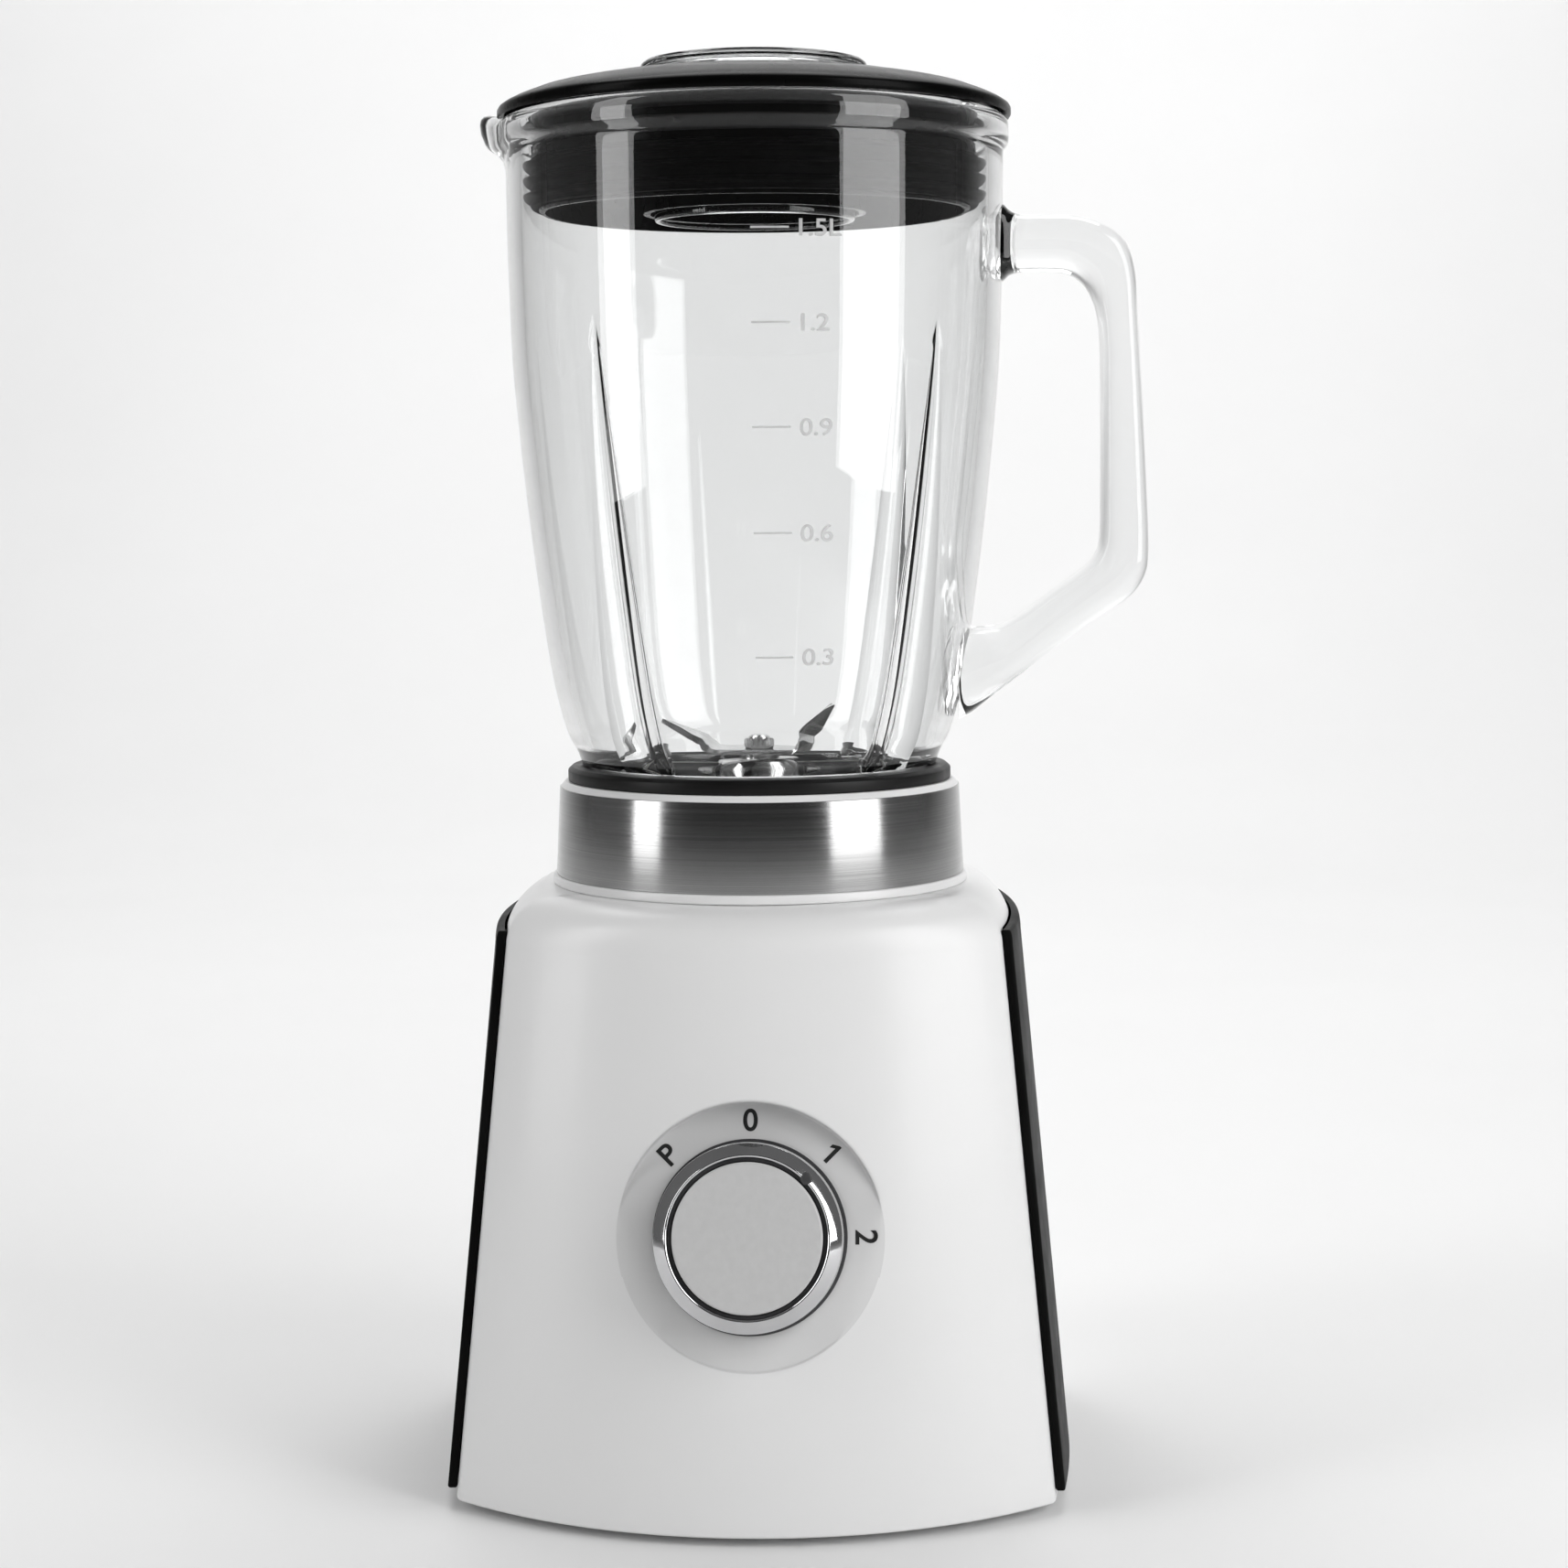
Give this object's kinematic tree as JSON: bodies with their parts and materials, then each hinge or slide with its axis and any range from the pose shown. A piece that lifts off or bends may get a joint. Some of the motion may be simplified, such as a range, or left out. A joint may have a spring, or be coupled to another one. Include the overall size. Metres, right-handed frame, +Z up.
{
  "type": "countertop blender",
  "caption": "Countertop blender: tapered white motor base with dial and steel collar, graduated glass jug with handle, spout and blades, black lid and clear measuring cap.",
  "frame": {"origin": "on the worktop, at the plane of the rubber feet, under the axis of the motor shaft and jug", "axes": "+Z up along the motor and blade axis, -Y out through the dial at the front, +X towards the jug handle, -X towards the spout"},
  "size_m": [0.1902, 0.179, 0.3798],
  "materials": {
    "white_plastic": "glossy white moulded ABS",
    "black_plastic": "glossy black",
    "black_matte": "fine satin black",
    "grey_plastic": "matte dark grey",
    "steel_band": "brushed round the collar",
    "chrome": "polished",
    "knob_satin": "satin silver paint",
    "knob_dark": "satin dark grey",
    "rubber": "matte black rubber",
    "silicone_white": "white silicone",
    "zinc_steel": "zinc plated",
    "blade_steel": "ground stainless steel",
    "laminations": "stacked electrical steel",
    "copper": "enamelled copper wire",
    "brass": "sintered bronze and brass",
    "carbon": "pressed carbon",
    "bracket_alloy": "die cast",
    "ivory_plastic": "moulded nylon",
    "capacitor_case": "yellow film capacitor case",
    "jar_glass": "clear pressed glass",
    "clear_plastic": "clear copolyester"
  },
  "bodies": {
    "base": {"housing": "white_plastic", "collar": "white_plastic", "steel_band": "steel_band", "jar_well": "grey_plastic", "left_side_panel": "black_plastic", "right_side_panel": "black_plastic", "base_plate": "white_plastic", "rubber_feet": "rubber", "base_screws": "zinc_steel", "well_screws": "zinc_steel", "cord_inlet": "rubber", "switch_body": "ivory_plastic", "switch_nut": "zinc_steel", "suppression_capacitor": "capacitor_case", "motor_stator": "laminations", "field_coils": "copper", "upper_motor_bracket": "bracket_alloy", "lower_motor_bracket": "bracket_alloy", "upper_bearing": "zinc_steel", "lower_bearing": "zinc_steel", "brush_holders": "brass", "carbon_brushes": "carbon", "brush_springs": "zinc_steel", "motor_bolts": "zinc_steel", "motor_mounts": "rubber"},
    "rotor": {"motor_shaft": "zinc_steel", "armature_core": "laminations", "armature_windings": "copper", "commutator": "copper", "cooling_fan": "ivory_plastic", "drive_coupler": "black_matte"},
    "knob": {"knob_ring": "chrome", "knob_cap": "knob_satin", "knob_core": "knob_dark", "switch_spindle": "zinc_steel"},
    "blade_unit": {"blade_base": "black_matte", "blade_bearing_housing": "black_matte", "blade_bush": "brass", "spindle_seal": "rubber"},
    "blades": {"blade_spindle": "blade_steel", "upper_blade": "blade_steel", "lower_blade": "blade_steel", "blade_spacer": "blade_steel", "blade_nut": "blade_steel", "driven_coupler": "black_matte"},
    "jar_gasket_ring": {"jar_gasket": "silicone_white"},
    "jar": {"glass_jar": "jar_glass", "jar_handle": "jar_glass"},
    "lid": {"lid": "black_plastic", "lid_seal": "rubber"},
    "cap": {"measuring_cap": "clear_plastic"}
  },
  "joints": [
    {"name": "motor_spin", "type": "hinge", "parent": "base", "child": "rotor", "pos_m": [0, 0, 0.08], "axis": [0, 0, 1], "continuous": true},
    {"name": "knob_turn", "type": "hinge", "parent": "base", "child": "knob", "pos_m": [0, -0.07601, 0.0776], "axis": [0, -0.9751, 0.2215], "range_deg": [-45, 90]},
    {"name": "jar_lift", "type": "slide", "parent": "base", "child": "blade_unit", "axis": [0, 0, 1], "range_m": [0, 0.06]},
    {"name": "blade_spin", "type": "hinge", "parent": "blade_unit", "child": "blades", "pos_m": [0, 0, 0.19], "axis": [0, 0, 1], "continuous": true},
    {"name": "jar_unscrew", "type": "hinge", "parent": "blade_unit", "child": "jar_gasket_ring", "pos_m": [0, 0, 0.18], "axis": [0, 0, 1], "range_deg": [0, 360]},
    {"name": "jar_thread_rise", "type": "slide", "parent": "jar_gasket_ring", "child": "jar", "axis": [0, 0, 1], "range_m": [0, 0.0101]},
    {"name": "lid_lift", "type": "slide", "parent": "jar", "child": "lid", "axis": [0, 0, 1], "range_m": [0, 0.06]},
    {"name": "cap_lift", "type": "slide", "parent": "lid", "child": "cap", "axis": [0, 0, 1], "range_m": [0, 0.05]}
  ],
  "couplings": [
    {"joint": "blade_spin", "follows": "motor_spin", "ratio": 1},
    {"joint": "jar_thread_rise", "follows": "jar_unscrew", "m_per_rad": 0.0015915}
  ]
}
